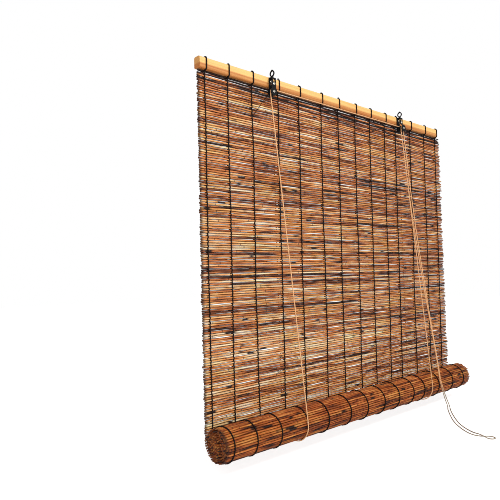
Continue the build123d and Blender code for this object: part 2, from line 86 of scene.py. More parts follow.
# The roll: the mat's middle line wound inwards from the back
TURN_RADIUS = 36.55
TURN_PITCH = 4.8
CORE_RADIUS = 5.0
ROLL_Y = -TURN_RADIUS
ROLL_Z = MAT_BOTTOM - 0.3

# Hangers and cords. A cord over a sheave ends a little way below the axle, and each sling has a short
# stretch of the run up from the roll's front.
LEFT_X = 207.0
RIGHT_X = 745.0
REAR_Y = -15.25
FRONT_Y = -22.75
AXLE_Z = -36.0
CORD_TURN = 6.0
BELOW_AXLE = 10.0
SLING_RADIUS = 40.35
SLING_RISE = 19.0
LEFT_SLING_X = 231.0
RIGHT_SLING_X = 775.0
TACK_Z = -13.0
KNOT_RADIUS = 3.4
KNOT_HEIGHT = 2.6
KNOT_TURN_RADIUS = 2.4
KNOT_START = 1.25
KNOT_RISE = 1.4
KNOT_CORD_RADIUS = 1.15
TIE_THREAD_RADIUS = 0.6

# The upper stretch of the mat hangs free when the blind is raised all the way, in reeds
UPPER_REEDS = 16

# Slits where light shows between two reeds, each in one bay between two warps. The reeds above and below
# bend apart by the opening, over a ramp at each end of the slit.
SLIT_COUNT = 56
SLIT_MARGIN = 4.0
SLIT_OPENING = 0.65
SLIT_RAMP = 14
# The rings beside each warp lie this far from it
BESIDE_WARP = 7

# About a full turn in radians, for waves and their random starts
FULL_TURN = 6.28

# Reeds that are smoked dark from the left edge: (reed, reach, shade)
SMOKED_REEDS = ((20, 330, -0.3), (61, 260, -0.25), (101, 420, -0.35), (102, 560, -0.6), (103, 300, -0.35))

# The angles in degrees between which the warps go round the outside of the roll
ROLL_THREAD_TURN = (4, 318)

# The pull cord's two strands come down from the right hanger's sheaves to the front of the roll
REAR_STRAND = [
    (751.0, -15.25, -46.0), (751.2, -20.6, -96.0), (752.8, -25.9, -158.0), (755.9, -31.0, -221.0),
    (760.0, -36.4, -285.0), (764.9, -41.6, -349.0), (771.0, -47.0, -413.0), (777.9, -52.1, -477.0),
    (785.4, -57.9, -541.0), (793.4, -63.9, -604.0), (801.6, -69.4, -667.0), (809.6, -74.0, -728.0),
    (817.0, -76.9, -785.0),
]
FRONT_STRAND = [
    (751.0, -22.75, -46.0), (751.6, -27.2, -96.0), (753.6, -32.0, -158.0), (757.0, -36.4, -221.0),
    (761.5, -41.2, -285.0), (767.0, -45.7, -349.0), (773.5, -50.4, -413.0), (780.8, -54.9, -477.0),
    (788.6, -59.6, -541.0), (796.9, -64.1, -604.0), (805.4, -68.7, -667.0), (813.8, -73.2, -728.0),
    (821.5, -76.9, -785.0),
]
# Heights of the cord's middle where it lies on the floor, and where it crosses over itself
ON_FLOOR = FLOOR_Z + 1.25
HUMP = ON_FLOOR + 3.2
# Below the roll the cord drops to the floor, lies on it in a long bight and comes back
PULL_BIGHT = [
    (817.0, -76.9, -785.0), (824.0, -77.6, -806.0), (832.0, -78.8, -828.0), (838.6, -81.0, -848.0),
    (840.5, -85.5, -862.0), (833.0, -91.0, ON_FLOOR + 0.4), (817.0, -99.5, ON_FLOOR),
    (771.5, -128.5, ON_FLOOR), (721.5, -163.0, ON_FLOOR), (696.5, -182.8, ON_FLOOR),
    (671.5, -206.5, ON_FLOOR), (649.5, -230.5, ON_FLOOR), (635.0, -251.0, ON_FLOOR),
    (629.0, -268.0, ON_FLOOR), (633.0, -282.5, ON_FLOOR), (643.5, -292.0, ON_FLOOR),
    (648.5, -303.5, ON_FLOOR), (641.5, -313.5, ON_FLOOR), (629.0, -313.0, ON_FLOOR),
    (622.5, -303.0, ON_FLOOR + 0.8), (626.5, -291.0, HUMP), (636.5, -275.0, HUMP),
    (646.0, -259.0, ON_FLOOR + 0.6), (657.5, -241.5, ON_FLOOR), (674.0, -219.5, ON_FLOOR),
    (696.5, -196.0, ON_FLOOR), (721.5, -174.8, ON_FLOOR), (774.0, -136.0, ON_FLOOR),
    (821.0, -105.0, ON_FLOOR), (836.5, -96.0, ON_FLOOR + 0.5), (843.5, -89.5, -861.0),
    (842.0, -84.5, -847.0), (835.8, -80.8, -828.0), (828.3, -78.6, -806.0), (821.5, -76.9, -785.0),
]
# The bight is worn from this far below its top, more and more over this height
WORN_BELOW = 12
WEAR_HEIGHT = 30
TIE_THREAD = [(198.2, -10.3, -42.2), (174.0, -6.6, -71.5), (153.2, -3.75, -100.0)]

# The camera at the photograph's angle: its place, and the directions of its right, up and back
CAMERA_PLACE = (-686.2, -895.85, -455.44)
CAMERA_AXES = ((0.74009, -0.67207, -0.02448), (0.00023, -0.03615, 0.99935), (-0.67251, -0.73961, -0.0266))
CAMERA_NEAR = 0.01
CAMERA_LENS = 39.109
CAMERA_SENSOR = 36.0
CAMERA_SHIFT = (0.00566, 0.01708)
PIXEL_FILTER = 0.9

# The lamps, as (name, place, size in metres, power in watts), and the place that they light
LAMPS = (("Key", (1100, -2200, 1900), 1.0, 58.0), ("Fill", (-1500, -1800, 0), 2.0, 34.0))
LIT_PLACE = (500, 0, -450)
# The floor reaches from the first to the second, along x and along y, and glows where the camera sees it
FLOOR_EDGES = (-6000, 7000)
FLOOR_COLOUR = (0.92, 0.92, 0.92)
FLOOR_GLOW = 0.62
# The backdrop's strength as light, and what it gains where the camera sees it
BACKDROP_LIGHT = 0.45
BACKDROP_SEEN = 0.55
# The painted shade on the rail's lower front starts this many metres below its top
PAINTED_SHADE_DEPTH = 0.015


def linear(red, green, blue):
    """A colour of 0 to 255 a channel, as seen on a screen, in the linear values that shaders take."""
    seen = np.array([red, green, blue]) / 255
    return tuple(np.where(seen <= 0.04045, seen / 12.92, ((seen + 0.055) / 1.055) ** 2.4))


def in_frame(points):
    """Points in millimetres from the datums, as metres in the model's frame."""
    return DATUM + np.asarray(points, float) * MM


# Surfaces

def carried(path, radius, sides):
    """A round profile carried along a path: point = path(s) + r (cos a * side(s) + sin a * up(s)).
    side(s) turns as little as it can: each is the last one with its share along the path taken out."""
    path = np.asarray(path, float)
    ahead = np.gradient(path, axis=0)
    ahead /= np.linalg.norm(ahead, axis=1, keepdims=True)
    side = np.empty_like(path)
    start = np.eye(3)[np.argmin(np.abs(ahead[0]))]
    for ring in range(len(path)):
        start = start - ahead[ring] * (start @ ahead[ring])
        start = start / np.linalg.norm(start)
        side[ring] = start
    up = np.cross(ahead, side)
    turn = np.linspace(0, 2 * np.pi, sides, endpoint=False)[None, :, None]
    radius = np.broadcast_to(radius, len(path))[:, None, None]
    return path[:, None] + radius * (np.cos(turn) * side[:, None] + np.sin(turn) * up[:, None])


def tube_mesh(name, rings, along, tone, shade=0.0):
    """Closed tubes from a grid of rings[tube, ring, side], in millimetres from the datums.
    The UV map is (share of the way round, metres along), and each tube has its own tone from 0 to 1. Each
    ring has its own shade: above 0 a reed is paler, below 0 a reed is darker and a cord is more worn."""
    tubes, count, sides = rings.shape[:3]
    index = np.arange(tubes * count * sides).reshape(tubes, count, sides)
    onward = np.roll(index, -1, axis=2)
    quads = np.stack([index[:, :-1], onward[:, :-1], onward[:, 1:], index[:, 1:]], axis=-1).reshape(-1, 4)
    caps = np.concatenate([index[:, 0, ::-1], index[:, -1]])
    mesh = bpy.data.meshes.new(name)
    mesh.from_pydata(in_frame(rings.reshape(-1, 3)).tolist(), [], quads.tolist() + caps.tolist())
    around = np.arange(sides) / sides
    u = np.stack([around, around + 1 / sides, around + 1 / sides, around], axis=-1)
    v = np.stack([along[:, :-1], along[:, :-1], along[:, 1:], along[:, 1:]], axis=-1)
    wall = np.empty((tubes, count - 1, sides, 4, 2))
    wall[..., 0] = u[None, None]
    wall[..., 1] = v[:, :, None]
    ends = np.zeros((len(caps), sides, 2))
    ends[..., 0] = around
    ends[..., 1] = np.concatenate([along[:, 0], along[:, -1]])[:, None]
    uv_map = mesh.uv_layers.new(name="UVMap")
    uv_map.uv.foreach_set("vector", np.concatenate([wall.ravel(), ends.ravel()]).astype(np.float32))
    shade = np.broadcast_to(shade, (tubes, count))
    for title, values in (("tone", np.repeat(tone, count * sides)), ("shade", np.repeat(shade, sides))):
        mesh.attributes.new(title, "FLOAT", "POINT").data.foreach_set("value", values.astype(np.float32))
    smooth = np.ones(len(mesh.polygons), bool)
    smooth[len(quads):] = False
    mesh.polygons.foreach_set("use_smooth", smooth)
    return mesh


def run_length(paths):
    """The metres from each path's start to each of its points."""
    steps = np.linalg.norm(np.diff(paths, axis=-2), axis=-1) * MM
    start = np.zeros(steps.shape[:-1] + (1,))
    return np.concatenate([start, np.cumsum(steps, axis=-1)], axis=-1)


def cord_mesh(name, paths, radius, sides=8, shade=0.0):
    """One mesh of round cords, each along its own path of points."""
    meshes = []
    for number, path in enumerate(paths):
        rings = carried(path, radius, sides)[None]
        meshes.append((rings, run_length(np.asarray(path, float))[None], np.array([number / 7 % 1]), shade))
    if len(meshes) == 1:
        return tube_mesh(name, *meshes[0])
    return joined(name, [tube_mesh(name, *parts) for parts in meshes])


def joined(name, meshes):
    """Several meshes as one."""
    objects = [bpy.data.objects.new(name, mesh) for mesh in meshes]
    for item in objects:
        bpy.context.collection.objects.link(item)
    with bpy.context.temp_override(
        active_object=objects[0], object=objects[0], selected_objects=objects,
        selected_editable_objects=objects,
    ):
        bpy.ops.object.join()
    mesh = objects[0].data
    bpy.data.objects.remove(objects[0])
    mesh.name = name
    return mesh


def reed_rings(x, y, z, radius, sides=8):
    """Reeds that run along x: point = (x, y + r cos a, z + r sin a), for arrays of [reed, ring]."""
    turn = np.linspace(0, 2 * np.pi, sides, endpoint=False)
    rings = np.empty(x.shape + (sides, 3))
    rings[..., 0] = x[..., None]
    rings[..., 1] = y[..., None] + radius[..., None] * np.cos(turn)
    rings[..., 2] = z[..., None] + radius[..., None] * np.sin(turn)
    return rings


def slit_offsets(stations, count):
    """How far each reed bends out of line at each station: up above a slit and down below it, by the
    slit's opening times a ramp that rises from 0 at the slit's ends."""
    bays = len(WARPS_X) - 1
    offsets = np.zeros((count, len(stations)))
    for number in range(SLIT_COUNT):
        neck = 2 + round(number * (count - 4) / SLIT_COUNT)
        bay = (number * 5 + number // bays) % bays
        start, end = WARPS_X[bay] + SLIT_MARGIN, WARPS_X[bay + 1] - SLIT_MARGIN
        ramp = np.clip(np.minimum(stations - start, end - stations) / SLIT_RAMP, 0, 1)
        offsets[neck - 1] += SLIT_OPENING * ramp
        offsets[neck] -= SLIT_OPENING * ramp
    return offsets


def mat_stations():
    """The places of the rings along each of the mat's reeds: its ends, both sides of each warp, and two
    in each bay between two warps."""
    bays = np.diff(WARPS_X)
    left, right = WARPS_X[:-1], WARPS_X[1:]
    inner = [left + BESIDE_WARP, left + bays / 3, left + bays * 2 / 3, right - BESIDE_WARP]
    start, end = [0.0, WARPS_X[0] - BESIDE_WARP], [WARPS_X[-1] + BESIDE_WARP, MAT_WIDTH]
    return np.concatenate([start, np.stack(inner, axis=-1).ravel(), end])


def mat_shades(chance, x, stations):
    """Each hanging reed's shade at each station: dark reeds at the top, smoked reeds, bays that differ a
    little, painted light that darkens the mat to the right and pales it down the left, and a smoked stretch
    on one reed in four."""
    count = len(x)
    shade = np.zeros(x.shape)
    shade[:2] = -0.5
    shade[3] = -0.3
    for reed, reach, depth in SMOKED_REEDS:
        shade[reed] = depth * np.clip((reach - x[reed]) / 60, 0, 1)
    share = stations[None] / MAT_WIDTH
    down = np.arange(count) / count
    bay_shade = chance.normal(0, 0.05, (count, len(WARPS_X) + 1))
    # Each bay's own small shift, then painted light: darker to the right, and below, paler down the left
    shade += bay_shade[:, np.searchsorted(WARPS_X, stations)] - 0.15 * share
    shade += 0.16 * (down[:, None] - 0.5) * (1 - share)
    for reed in chance.choice(count, count // 4, replace=False):
        centre, reach = chance.uniform(0, MAT_WIDTH), chance.uniform(60, 240)
        shade[reed] -= 0.3 * np.clip((reach - np.abs(x[reed] - centre)) / 30, 0, 1)
    return shade


def smooth_line(points):
    """The smooth line of a cord's route: a NURBS curve with the route's points as its control points,
    read back as points in millimetres from the datums."""
    curve = bpy.data.curves.new("route", "CURVE")
    curve.dimensions = "3D"
    curve.resolution_u = 12
    spline = curve.splines.new("NURBS")
    spline.points.add(len(points) - 1)
    placed = np.ones((len(points), 4))
    placed[:, :3] = points
    spline.points.foreach_set("co", placed.ravel())
    spline.order_u = 3
    spline.use_endpoint_u = True
    holder = bpy.data.objects.new("route", curve)
    bpy.context.collection.objects.link(holder)
    mesh = bpy.data.meshes.new_from_object(holder)
    line = np.empty(len(mesh.vertices) * 3)
    mesh.vertices.foreach_get("co", line)
    bpy.data.objects.remove(holder)
    bpy.data.curves.remove(curve)
    bpy.data.meshes.remove(mesh)
    return line.reshape(-1, 3)


def straight(start, end, steps):
    """Points evenly along a straight line."""
    share = np.linspace(0, 1, steps + 1)[:, None]
    return np.asarray(start, float) * (1 - share) + np.asarray(end, float) * share


def arc(x, y, start_deg, end_deg):
    """Points on a cord's turn about a sheave's axle: (x + r cos a, y, z + r sin a)."""
    turn = np.radians(np.linspace(start_deg, end_deg, 11))
    across, up = CORD_TURN * np.cos(turn), CORD_TURN * np.sin(turn)
    return np.stack([x + across, np.full_like(turn, y), AXLE_Z + up], axis=-1)


def over_sheaves(first, last, y):
    """A cord's way over one sheave or two, each given as (x, start, end of its turn in degrees), with a
    short straight end below each axle. The straight ends stay with the hangers when the blind is drawn up."""
    low = AXLE_Z - BELOW_AXLE
    turns = [arc(x, y, start, end) for x, start, end in (first, last)]
    if first[0] == last[0]:
        turns[1] = turns[1][1:]
    rise = [(first[0] - CORD_TURN, y, low + share * BELOW_AXLE) for share in (0, 0.5, 0.9)]
    fall = [(last[0] + CORD_TURN, y, low + share * BELOW_AXLE) for share in (0.9, 0.5, 0)]
    return np.concatenate([rise, *turns, fall])


def rail_outline(gap):
    """(y, z) points round the rail from its lower front corner, over the top and down its back: each
    corner is corner centre + (corner radius + gap) * (cos a, sin a)."""
    radius = RAIL_EDGE_RADIUS
    points = []
    for side, corners in ((-1, ((-RAIL_HEIGHT + radius, 225, 180), (-radius, 180, 90))),
                          (1, ((-radius, 90, 0), (-RAIL_HEIGHT + radius, 0, -45)))):
        for z, start, end in corners:
            turn = np.radians(np.linspace(start, end, 6))
            middle = side * (RAIL_DEPTH / 2 - radius)
            points += list(zip(middle + (radius + gap) * np.cos(turn), z + (radius + gap) * np.sin(turn)))
    return points


def sling_angle(y, z, side):
    """The angle round the roll at which a tight cord from (y, z) meets the sling: straight towards it,
    turned by the angle whose cosine is the sling's radius over the distance."""
    reach = math.hypot(y - ROLL_Y, z - ROLL_Z)
    return math.atan2(z - ROLL_Z, y - ROLL_Y) + side * math.acos(SLING_RADIUS / reach)


def on_sling(x, angle):
    """A point of the sling's centre line: (x, roll's y + r cos a, roll's z + r sin a)."""
    angle = np.asarray(angle, float)
    return np.stack([
        np.full_like(angle, x), ROLL_Y + SLING_RADIUS * np.cos(angle), ROLL_Z + SLING_RADIUS * np.sin(angle),
    ], axis=-1)


def spiral(angle, offset=0.0):
    """The roll's middle line: radius = outer radius - pitch * angle / full turn, plus an offset."""
    radius = TURN_RADIUS - TURN_PITCH * angle / (2 * np.pi) + offset
    return ROLL_Y + radius * np.cos(angle), ROLL_Z - radius * np.sin(angle)


# Materials

class Nodes:
    """A material's node tree, with one call for each node."""

    def __init__(self, name):
        self.material = bpy.data.materials.new(name)
        self.material.use_nodes = True
        self.tree = self.material.node_tree
        self.shader = self.tree.nodes["Principled BSDF"]

    def add(self, kind, inputs=None, **settings):
        """One node, its settings, and its inputs as values or as other nodes' outputs."""
        node = self.tree.nodes.new(kind)
        for key, value in settings.items():
            setattr(node, key, value)
        for key, value in (inputs or {}).items():
            self.feed(node.inputs[key], value)
        return node

    def feed(self, socket, value):
        """A value, or a link from an output."""
        if isinstance(value, bpy.types.NodeSocket):
            self.tree.links.new(value, socket)
        else:
            socket.default_value = value

    def math(self, operation, first, second=0.0, third=0.0):
        """The result of a sum."""
        inputs = {0: first, 1: second, 2: third}
        return self.add("ShaderNodeMath", inputs, operation=operation).outputs[0]

    def place(self):
        """The x, y and z of the point on the piece."""
        place = self.add("ShaderNodeTexCoord").outputs["Object"]
        return self.add("ShaderNodeSeparateXYZ", {0: place}).outputs

    def attribute(self, name):
        """A value that is stored on the mesh."""
        return self.add("ShaderNodeAttribute", attribute_name=name).outputs["Fac"]

    def way_round(self):
        """The share of the way round a tube, and the metres along it."""
        uv = self.add("ShaderNodeTexCoord").outputs["UV"]
        return self.add("ShaderNodeSeparateXYZ", {0: uv}).outputs[:2]

    def cut_end(self, least):
        """1 where the surface looks along x, as at a cut end, and 0 elsewhere."""
        normal = self.add("ShaderNodeNewGeometry").outputs["Normal"]
        sideways = self.add("ShaderNodeSeparateXYZ", {0: normal}).outputs[0]
        return self.math("GREATER_THAN", self.math("ABSOLUTE", sideways), least)

    def scaled(self, *pairs):
        """Each value times its factor."""
        return [self.math("MULTIPLY", value, factor) for value, factor in pairs]

    def limited(self, value):
        """A value kept from 0 to 1."""
        return self.add("ShaderNodeClamp", {0: value}).outputs[0]

    def noise(self, x, y, z, detail=2.0, roughness=0.5):
        """Noise at a place built from three values."""
        vector = self.add("ShaderNodeCombineXYZ", {0: x, 1: y, 2: z}).outputs[0]
        inputs = {"Vector": vector, "Scale": 1.0, "Detail": detail, "Roughness": roughness}
        return self.add("ShaderNodeTexNoise", inputs).outputs["Fac"]

    def ramp(self, value, *stops):
        """A colour that runs through stops of (place, colour)."""
        node = self.add("ShaderNodeValToRGB", {0: value})
        elements = node.color_ramp.elements
        while len(elements) < len(stops):
            elements.new(0.5)
        for element, (position, colour) in zip(elements, stops):
            element.position = position
            element.color = (*colour, 1.0)
        return node.outputs[0]

    def mix(self, factor, first, second, blend="MIX"):
        """Two colours mixed."""
        node = self.add("ShaderNodeMix", data_type="RGBA", blend_type=blend)
        for socket, value in zip((node.inputs[0], node.inputs[6], node.inputs[7]), (factor, first, second)):
            if not isinstance(value, bpy.types.NodeSocket) and hasattr(value, "__len__"):
                value = (*value, 1.0)
            self.feed(socket, value)
        return node.outputs[2]

    def tint(self, factor, colour, by):
        """A colour multiplied by another, as far as the factor says."""
        return self.mix(factor, colour, self.mix(1.0, colour, by, "MULTIPLY"))

    def bump(self, height, strength, distance):
        """Relief for the shader."""
        inputs = {"Height": height, "Strength": strength, "Distance": distance}
        self.feed(self.shader.inputs["Normal"], self.add("ShaderNodeBump", inputs).outputs[0])

    def finish(self, colour, roughness, **values):
        """The shader's colour, roughness and other inputs."""
        if not isinstance(colour, bpy.types.NodeSocket):
            colour = (*colour, 1.0)
        self.feed(self.shader.inputs["Base Color"], colour)
        self.feed(self.shader.inputs["Roughness"], roughness)
        for key, value in values.items():
            self.feed(self.shader.inputs[key.replace("_", " ")], value)
        return self.material


def reed_material(name, dark, brown, warm, tan, pale, spread, valley_shade_strength):
    """Dry reed: each reed has its own tone, which drifts along it in streaks, with dark smoked dashes,
    joints now and then, a cast that turns from red to straw over the mat, some cooler reeds, painted shade
    where each reed meets the next, dark cut ends and painted shade just behind the reeds' left ends."""
    n = Nodes(name)
    x, y, z = n.place()
    tone = n.attribute("tone")
    own = n.math("FRACT", n.math("MULTIPLY", tone, 29.0))
    drift = n.noise(*n.scaled((x, 13.0), (tone, 413.0)), 0.3, 2.0, 0.55)
    streak = n.noise(*n.scaled((x, 26.0), (tone, 977.0), (z, 700.0)), 3.0, 0.6)
    level = n.math("MULTIPLY_ADD", n.math("SUBTRACT", own, 0.5), 0.45, 0.5)
    level = n.math("MULTIPLY_ADD", n.math("SUBTRACT", drift, 0.5), 1.1 * spread, level)
    level = n.math("MULTIPLY_ADD", n.math("SUBTRACT", streak, 0.5), 1.2 * spread, level)
    level = n.math("ADD", level, n.attribute("shade"))
    colour = n.ramp(level, (0.02, dark), (0.22, brown), (0.45, warm), (0.66, tan), (0.95, pale))
    cast = n.noise(*n.scaled((x, 8.0), (y, 8.0), (z, 21.0)), 2.0)
    colour = n.tint(n.limited(n.math("MULTIPLY_ADD", cast, 5.0, -2.3)), colour, (0.97, 1.03, 0.86))
    burnt = n.noise(*n.scaled((x, 17.0), (tone, 1201.0)), 7.0, 1.0)
    burnt = n.math("MULTIPLY", n.math("SUBTRACT", burnt, 0.66), 18.0)
    colour = n.mix(n.limited(burnt), colour, dark)
    joint = n.math("FRACT", n.math("MULTIPLY_ADD", x, 4.6, n.math("MULTIPLY", tone, 61.0)))
    ring = n.math("LESS_THAN", n.math("ABSOLUTE", n.math("SUBTRACT", joint, 0.5)), 0.006)
    colour = n.mix(n.math("MULTIPLY", ring, 0.65), colour, dark)
    cool = n.math("GREATER_THAN", n.math("FRACT", n.math("MULTIPLY", tone, 83.0)), 0.6)
    colour = n.tint(n.math("MULTIPLY", cool, 0.8), colour, (0.86, 0.92, 0.98))
    around, along = n.way_round()
    # Painted shade at the top and bottom of each reed's round, where it meets the next reed
    side = n.math("ABSOLUTE", n.math("SINE", n.math("MULTIPLY", around, 2 * math.pi)))
    painted_valley_shade = n.math("MULTIPLY", n.math("POWER", side, 1.6), valley_shade_strength)
    colour = n.tint(painted_valley_shade, colour, (0.08, 0.05, 0.04))
    end = n.cut_end(0.9)
    pith = n.math("FRACT", n.math("MULTIPLY", tone, 57.0))
    colour = n.mix(n.math("MULTIPLY", end, n.math("MULTIPLY_ADD", pith, 0.5, 0.4)), colour, dark)
    # Painted shade on each reed's sides for about 6 mm behind its left end, as in the dark gaps there
    painted_end_shade = n.limited(n.math("MULTIPLY_ADD", along, -160.0, 1.0))
    painted_end_shade = n.math("MULTIPLY", painted_end_shade, n.math("SUBTRACT", 1.0, end))
    colour = n.mix(n.math("MULTIPLY", painted_end_shade, 0.85), colour, dark)
    fibre = n.noise(*n.scaled((x, 60.0), (y, 2200.0), (z, 2200.0)), 1.0)
    n.bump(n.math("MULTIPLY_ADD", ring, 0.7, fibre), 0.35, 0.0006)
    return n.finish(colour, n.math("MULTIPLY_ADD", fibre, 0.2, 0.5), Specular_IOR_Level=0.3)


def thread_material(name, colour):
    """Dark twisted thread: fine strands slant round it, painted highlight on them, painted shade between."""
    n = Nodes(name)
    around, along = n.way_round()
    twist = n.math("SINE", n.math("MULTIPLY_ADD", around, 12.566, n.math("MULTIPLY", along, 2600.0)))
    # Painted highlight on the strands' crowns and painted shade in the grooves between them
    shade = n.math("MULTIPLY_ADD", twist, 0.25, 0.5)
    n.bump(twist, 0.5, 0.0002)
    darker, lighter = (tuple(c * factor for c in colour) for factor in (0.5, 1.4))
    return n.finish(n.mix(shade, darker, lighter), 0.85, Specular_IOR_Level=0.2)


def cord_material(name, light, dark, worn):
    """Tan cord of three strands twisted together, a little uneven in colour, with painted shade between the
    strands, and greyer as far as its shade lies below 0."""
    n = Nodes(name)
    around, along = n.way_round()
    twist = n.math("MULTIPLY_ADD", around, 18.85, n.math("MULTIPLY", along, 1570.0))
    strand = n.math("ABSOLUTE", n.math("SINE", n.math("MULTIPLY", twist, 0.5)))
    hair = n.noise(*n.scaled((around, 30.0), (along, 900.0)), 0.0, 2.0)
    blotch = n.noise(0.0, n.math("MULTIPLY", along, 40.0), 1.0, 2.0)
    shade = n.math("MULTIPLY_ADD", hair, 0.35, n.math("MULTIPLY", strand, 0.75))
    shade = n.math("MULTIPLY", shade, n.math("MULTIPLY_ADD", blotch, 0.4, 0.8))
    n.bump(n.math("MULTIPLY_ADD", hair, 0.2, strand), 0.8, 0.0005)
    wear = n.math("MULTIPLY", n.attribute("shade"), -1.0)
    # Painted shade in the grooves between the strands, on the fresh cord and the worn one
    fresh = n.ramp(shade, (0.1, dark), (0.75, light))
    greyer = n.ramp(shade, (0.1, tuple(c * 0.4 for c in worn)), (0.75, worn))
    return n.finish(n.mix(wear, fresh, greyer), 0.8, Specular_IOR_Level=0.3)


def rail_material(name, light, dark):
    """Planed pine: straight grain along the rail, painted shade along the lower half of its front, and
    darker end grain."""
    n = Nodes(name)
    x, y, z = n.place()
    warp = n.noise(*n.scaled((x, 2.2), (y, 30.0), (z, 30.0)), 2.0)
    across = n.math("MULTIPLY_ADD", z, 900.0, n.math("MULTIPLY", y, 500.0))
    grain = n.math("SINE", n.math("MULTIPLY_ADD", warp, 14.0, across))
    fine = n.noise(*n.scaled((x, 9.0), (y, 700.0), (z, 700.0)), 3.0)
    blotch = n.noise(n.math("MULTIPLY", x, 7.0), 0.0, n.math("MULTIPLY", z, 18.0), 2.0)
    level = n.math("MULTIPLY_ADD", fine, 0.35, n.math("MULTIPLY", blotch, 0.4))
    level = n.math("MULTIPLY_ADD", grain, 0.04, level)
    # Painted shade along the rail's lower front, with a wavy upper edge
    painted_lower_shade = n.math("MULTIPLY_ADD", z, -260.0, float(DATUM[2] - PAINTED_SHADE_DEPTH) * 260.0)
    painted_lower_shade = n.math("MULTIPLY_ADD", warp, 1.4, n.math("ADD", painted_lower_shade, -0.2))
    level = n.math("MULTIPLY_ADD", n.limited(painted_lower_shade), -0.42, n.math("ADD", level, 0.14))
    colour = n.ramp(level, (0.0, dark), (0.55, light))
    colour = n.mix(n.math("MULTIPLY", n.cut_end(0.7), 0.5), colour, dark)
    n.bump(fine, 0.2, 0.0004)
    return n.finish(colour, n.math("MULTIPLY_ADD", fine, 0.2, 0.42), Specular_IOR_Level=0.35)


def steel_material(name, colour, metallic, roughness, gloss):
    """Sheet steel: a faintly clouded surface with fine scratches."""
    n = Nodes(name)
    x, y, z = n.place()
    cloud = n.noise(*n.scaled((x, 160.0), (y, 160.0), (z, 160.0)), 4.0)
    scratch = n.noise(*n.scaled((x, 3000.0), (y, 500.0), (z, 300.0)), 2.0)
    n.bump(n.math("MULTIPLY_ADD", scratch, 0.3, cloud), 0.15, 0.0003)
    lighter = tuple(min(1.0, c * 1.5 + 0.004) for c in colour)
    tint = n.mix(cloud, colour, lighter)
    dull = n.math("MULTIPLY_ADD", cloud, 0.2, roughness)
    return n.finish(tint, dull, Metallic=metallic, Specular_IOR_Level=gloss)


# Values that a user would change

def length_property(name, description, default):
    """A length in metres that a user can set."""
    return bpy.props.FloatProperty(name=name, description=description, default=default, unit="LENGTH")


def colour_property(name, description, *seen):
    """A colour that a user can set, from its 0 to 255 a channel as seen on a screen."""
    return bpy.props.FloatVectorProperty(
        name=name, description=description, subtype="COLOR", default=linear(*seen))


class BlindSizes(bpy.types.PropertyGroup):
    reed_pitch: length_property("Reed pitch", "From one reed's middle to the next", 0.005)
    reed_thickness: length_property("Reed thickness", "The thickest reed's diameter", 0.0051)
    uneven_ends: length_property("Uneven ends", "How far the reeds' cut ends differ", 0.003)
    thread: length_property("Warp thread", "The warp thread's diameter", 0.003)
    cord: length_property("Cord", "The lift and pull cords' diameter", 0.0025)


class BlindColours(bpy.types.PropertyGroup):
    # The dark reed and roll colours also paint the cut ends and the shade behind the reeds' left ends
    reed_dark: colour_property("Dark reed", "Smoked dashes and joints", 42, 17, 8)
    reed_brown: colour_property("Brown reed", "The mat's browner reeds", 148, 76, 40)
    reed_warm: colour_property("Warm reed", "The mat's reddest reeds", 218, 130, 66)
    reed_tan: colour_property("Tan reed", "The mat's usual colour", 238, 176, 112)
    reed_pale: colour_property("Pale reed", "The palest reeds", 255, 234, 200)
    roll_dark: colour_property("Dark roll", "The roll's smoked dashes", 40, 13, 5)
    roll_brown: colour_property("Brown roll", "The roll's browner reeds", 100, 40, 12)
    roll_warm: colour_property("Warm roll", "The roll's usual colour", 162, 76, 24)
    roll_tan: colour_property("Tan roll", "The roll's lighter reeds", 186, 98, 38)
    roll_pale: colour_property("Pale roll", "The roll's palest reeds", 218, 142, 74)
    rail_light: colour_property("Light pine", "The rail's early wood", 240, 190, 116)
    # The dark pine also colours the painted shade on the rail's lower front
    rail_dark: colour_property("Dark pine", "The rail's late wood", 178, 102, 44)
    thread: colour_property("Thread", "The warp threads", 22, 12, 10)
    cord_light: colour_property("Light cord", "The top of the cord's strands", 240, 188, 138)
    # The colour of the painted shade in the grooves between the cord's strands
    cord_groove_shade: colour_property("Dark cord", "Between the cord's strands", 182, 122, 76)
    cord_worn: colour_property("Worn cord", "Where it is handled and lies on the floor", 176, 160, 136)
    black_steel: colour_property("Black steel", "The hangers' finish", 9, 9, 10)
    bright_steel: colour_property("Bright steel", "Rivets and screws", 200, 194, 182)


def show(name, mesh, material, slot, body, *nodes):
    """A finished piece: it stands for CAD nodes, which it hides, takes its finish from a material and rides
    on a body. Its slot is not used.
    """
    piece = bpy.data.objects.new(name, mesh)
    bpy.context.collection.objects.link(piece)
    piece.data.materials.clear()
    piece.data.materials.append(bpy.data.materials[material])
    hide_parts(*nodes)
    if body:
        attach(piece, body)
    return piece


def show_cord(name, path, radius, body, node):
    """A finished piece of twisted cord along a path."""
    return show(name, cord_mesh(name, [path], radius), "Twisted cord", "cord", body, node)


def shorten(piece):
    """Gives the piece its own copy of its mesh."""
    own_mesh(piece)


# Operators, in the order in which the scene is made

class BLIND_OT_materials(bpy.types.Operator):
    """Makes the blind's materials"""
    bl_idname = "blind.materials"
    bl_label = "Materials"

    def execute(self, context):
        c = context.scene.blind_colours
        # The last two values are how widely the tone spreads and how strong the painted shade between reeds
        # is
        reed_material(
            "Hanging reed", tuple(c.reed_dark), tuple(c.reed_brown), tuple(c.reed_warm), tuple(c.reed_tan),
            tuple(c.reed_pale), 1.0, 1.0)
        reed_material(
            "Rolled reed", tuple(c.roll_dark), tuple(c.roll_brown), tuple(c.roll_warm), tuple(c.roll_tan),
            tuple(c.roll_pale), 1.6, 0.35)
        thread_material("Warp thread", tuple(c.thread))
        cord_material("Twisted cord", tuple(c.cord_light), tuple(c.cord_groove_shade), tuple(c.cord_worn))
        rail_material("Planed pine", tuple(c.rail_light), tuple(c.rail_dark))
        steel_material("Black steel", tuple(c.black_steel), 0.0, 0.45, 0.14)
        steel_material("Bright steel", tuple(c.bright_steel), 1.0, 0.22, 0.5)
        return {"FINISHED"}


